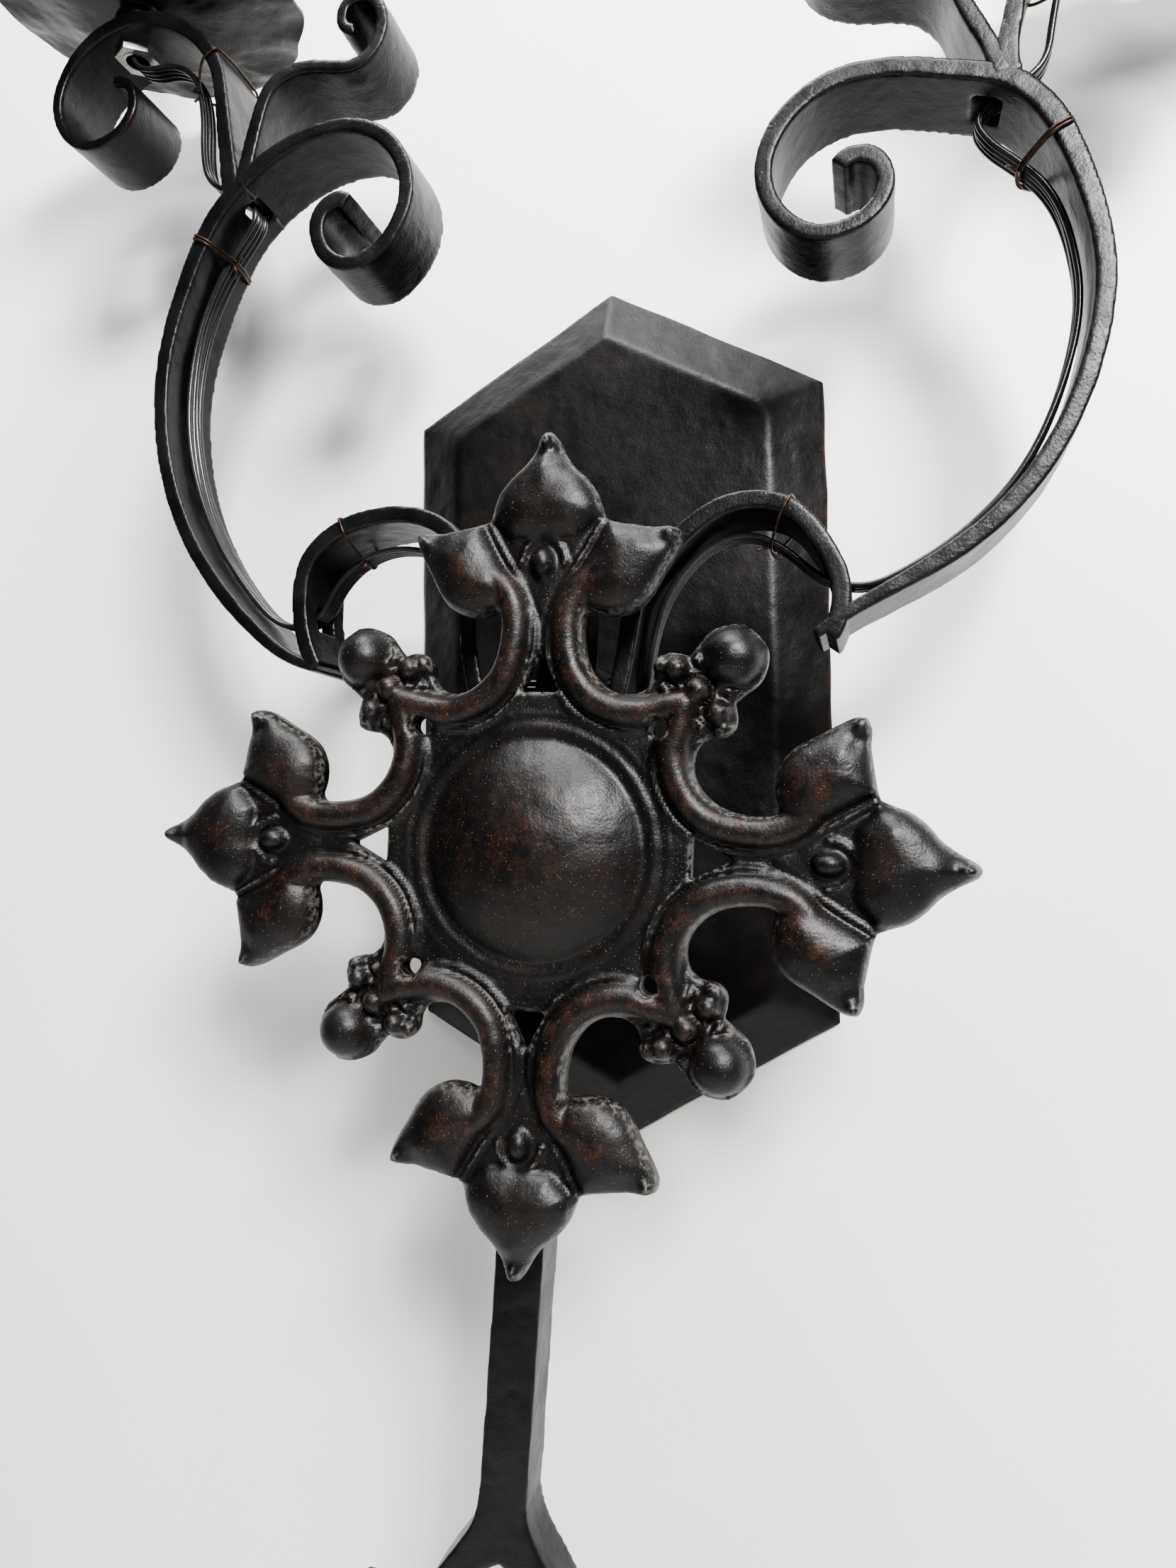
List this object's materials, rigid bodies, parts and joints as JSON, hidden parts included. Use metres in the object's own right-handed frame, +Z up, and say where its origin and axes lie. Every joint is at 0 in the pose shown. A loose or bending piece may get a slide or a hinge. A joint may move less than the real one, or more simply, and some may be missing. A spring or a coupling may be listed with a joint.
{
  "type": "wall sconce",
  "caption": "Forged iron wall sconce with scrolled candle arms, a cast leaf rosette, a pointed backplate and wired candle sleeves.",
  "frame": {"origin": "middle of the mounting strap's rear face, on the wall plane, at the axis of the hollow wall nipple", "axes": "+Z up, +Y into the wall, +X to the viewer's right, so the sconce stands out towards -Y"},
  "size_m": [0.4515, 0.1227, 0.6453],
  "materials": {
    "forged_iron": "satin hammered blackened iron",
    "rosette_iron": "cast, blackened, brown rub-through on high ribs",
    "wrought_plate": "hammered sheet, dark satin",
    "plated_steel": "zinc plated",
    "green_screw": "green plated",
    "phenolic": "moulded phenolic",
    "brass_contact": "bright",
    "candle_sleeve": "waxed ivory",
    "wire_jacket": "semi-gloss black vinyl",
    "tie_wire": "annealed iron wire"
  },
  "bodies": {
    "frame": {"arch_left": "forged_iron", "arch_right": "forged_iron", "branch_scroll_left": "forged_iron", "branch_scroll_right": "forged_iron", "candle_cup_left": "forged_iron", "candle_cup_right": "forged_iron", "canopy_nut": "plated_steel", "canopy_washer": "plated_steel", "cup_nipple_left": "plated_steel", "cup_nipple_right": "plated_steel", "cup_nut_left": "plated_steel", "cup_nut_right": "plated_steel", "drip_pan_left": "forged_iron", "drip_pan_right": "forged_iron", "ground_screw": "green_screw", "knob_left": "forged_iron", "knob_right": "forged_iron", "lamp_wires_left": "wire_jacket", "lamp_wires_right": "wire_jacket", "main_scroll_left": "forged_iron", "main_scroll_right": "forged_iron", "mounting_strap": "plated_steel", "rosette": "rosette_iron", "rosette_bolt": "plated_steel", "rosette_nut": "plated_steel", "rosette_spacer": "forged_iron", "socket_body_left": "phenolic", "socket_body_right": "phenolic", "socket_contact_left": "brass_contact", "socket_contact_right": "brass_contact", "socket_post_left": "plated_steel", "socket_post_right": "plated_steel", "socket_shell_left": "brass_contact", "socket_shell_right": "brass_contact", "standoff": "forged_iron", "stem": "forged_iron", "strap_nut": "plated_steel", "tendril_left": "forged_iron", "tendril_right": "forged_iron", "tie_wires_left": "tie_wire", "tie_wires_right": "tie_wire", "under_nut_left": "plated_steel", "under_nut_right": "plated_steel", "wall_nipple": "plated_steel"},
    "backplate": {"backplate": "wrought_plate"},
    "sleeve_left": {"candle_sleeve_left": "candle_sleeve"},
    "sleeve_right": {"candle_sleeve_right": "candle_sleeve"}
  },
  "joints": [
    {"name": "backplate_turn", "type": "hinge", "parent": "frame", "child": "backplate", "pos_m": [0, 0, 0], "axis": [0, 1, 0], "range_deg": [-6, 9]},
    {"name": "sleeve_lift_left", "type": "slide", "parent": "frame", "child": "sleeve_left", "axis": [0, 0, 1], "range_m": [0, 0.11]},
    {"name": "sleeve_lift_right", "type": "slide", "parent": "frame", "child": "sleeve_right", "axis": [0, 0, 1], "range_m": [0, 0.11]}
  ]
}
